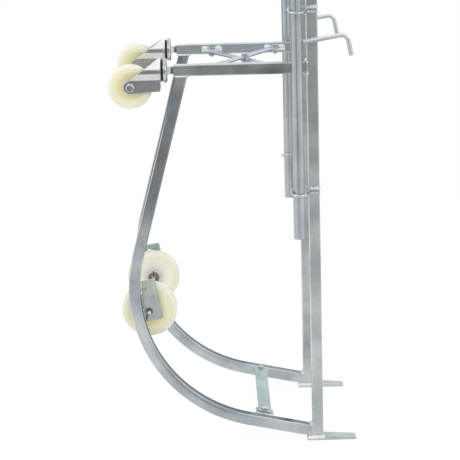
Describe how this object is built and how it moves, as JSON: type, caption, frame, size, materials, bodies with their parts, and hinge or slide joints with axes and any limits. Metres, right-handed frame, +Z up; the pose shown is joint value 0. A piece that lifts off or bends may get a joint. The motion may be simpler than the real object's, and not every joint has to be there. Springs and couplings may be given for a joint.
{
  "type": "drum cradle",
  "caption": "Tilting drum cradle of welded square tube with bent rockers, toe plates, rim hooks, nylon wheels, swivel casters and a sliding U handle.",
  "frame": {"origin": "on the floor under the middle of the outline, with the cradle standing on its toe plates", "axes": "+X towards the drum, +Y to the far side frame in the picture, +Z up"},
  "size_m": [0.5338, 0.4672, 1.1595],
  "materials": {
    "zinc_tube": "satin",
    "zinc_plate": "satin",
    "zinc_rod": "satin",
    "bright_zinc": "polished",
    "fork_zinc": "satin",
    "dark_steel": "matte",
    "bearing_steel": "satin",
    "wheel_nylon": "satin",
    "cap_plastic": "matte"
  },
  "bodies": {
    "frame": {"brace_tabs": "zinc_plate", "brace_strip_upper": "zinc_plate", "brace_strip_lower": "zinc_plate", "brace_spacer": "bright_zinc", "strap_tabs": "zinc_plate", "lower_strap": "zinc_plate", "cross_bolts": "bright_zinc", "cross_nuts": "bright_zinc", "near_upright": "zinc_tube", "near_upright_cap": "cap_plastic", "near_top_bar": "zinc_tube", "near_rocker": "zinc_tube", "near_toe_plate": "zinc_plate", "near_rim_hook": "zinc_rod", "near_lower_loop": "zinc_rod", "near_upper_loop": "zinc_rod", "near_wheel_bracket": "zinc_plate", "near_wheel_axle": "bright_zinc", "near_axle_washers": "bearing_steel", "near_split_pins": "dark_steel", "near_caster_plug": "dark_steel", "near_caster_stem": "bright_zinc", "near_caster_lock_nut": "bright_zinc", "near_caster_head": "bright_zinc", "near_caster_race": "dark_steel", "far_upright": "zinc_tube", "far_upright_cap": "cap_plastic", "far_top_bar": "zinc_tube", "far_rocker": "zinc_tube", "far_toe_plate": "zinc_plate", "far_rim_hook": "zinc_rod", "far_lower_loop": "zinc_rod", "far_upper_loop": "zinc_rod", "far_wheel_bracket": "zinc_plate", "far_wheel_axle": "bright_zinc", "far_axle_washers": "bearing_steel", "far_split_pins": "dark_steel", "far_caster_plug": "dark_steel", "far_caster_stem": "bright_zinc", "far_caster_lock_nut": "bright_zinc", "far_caster_head": "bright_zinc", "far_caster_race": "dark_steel"},
    "near_wheel_body": {"near_wheel": "wheel_nylon", "near_wheel_bush": "bearing_steel"},
    "near_caster_body": {"near_caster_fork": "fork_zinc", "near_caster_axle_bolt": "bright_zinc", "near_caster_axle_nut": "bright_zinc"},
    "near_caster_wheel_body": {"near_caster_wheel": "wheel_nylon", "near_caster_bush": "bearing_steel"},
    "far_wheel_body": {"far_wheel": "wheel_nylon", "far_wheel_bush": "bearing_steel"},
    "far_caster_body": {"far_caster_fork": "fork_zinc", "far_caster_axle_bolt": "bright_zinc", "far_caster_axle_nut": "bright_zinc"},
    "far_caster_wheel_body": {"far_caster_wheel": "wheel_nylon", "far_caster_bush": "bearing_steel"},
    "handle_body": {"handle": "zinc_tube", "handle_rests": "zinc_plate"}
  },
  "joints": [
    {"name": "near_wheel_spin", "type": "hinge", "parent": "frame", "child": "near_wheel_body", "pos_m": [-0.19632, -0.1396, 0.30739], "axis": [0, 1, 0], "continuous": true},
    {"name": "near_caster_swivel", "type": "hinge", "parent": "frame", "child": "near_caster_body", "pos_m": [-0.15146, -0.182, 0.8535], "axis": [1, 0, 0], "continuous": true},
    {"name": "near_caster_spin", "type": "hinge", "parent": "near_caster_body", "child": "near_caster_wheel_body", "pos_m": [-0.21886, -0.182, 0.821], "axis": [0, 1, 0], "continuous": true},
    {"name": "far_wheel_spin", "type": "hinge", "parent": "frame", "child": "far_wheel_body", "pos_m": [-0.19632, 0.1396, 0.30739], "axis": [0, 1, 0], "continuous": true},
    {"name": "far_caster_swivel", "type": "hinge", "parent": "frame", "child": "far_caster_body", "pos_m": [-0.15146, 0.182, 0.8535], "axis": [1, 0, 0], "continuous": true},
    {"name": "far_caster_spin", "type": "hinge", "parent": "far_caster_body", "child": "far_caster_wheel_body", "pos_m": [-0.21886, 0.182, 0.821], "axis": [0, 1, 0], "continuous": true},
    {"name": "handle_slide", "type": "slide", "parent": "frame", "child": "handle_body", "axis": [0, 0, 1], "range_m": [0, 0.09]}
  ]
}
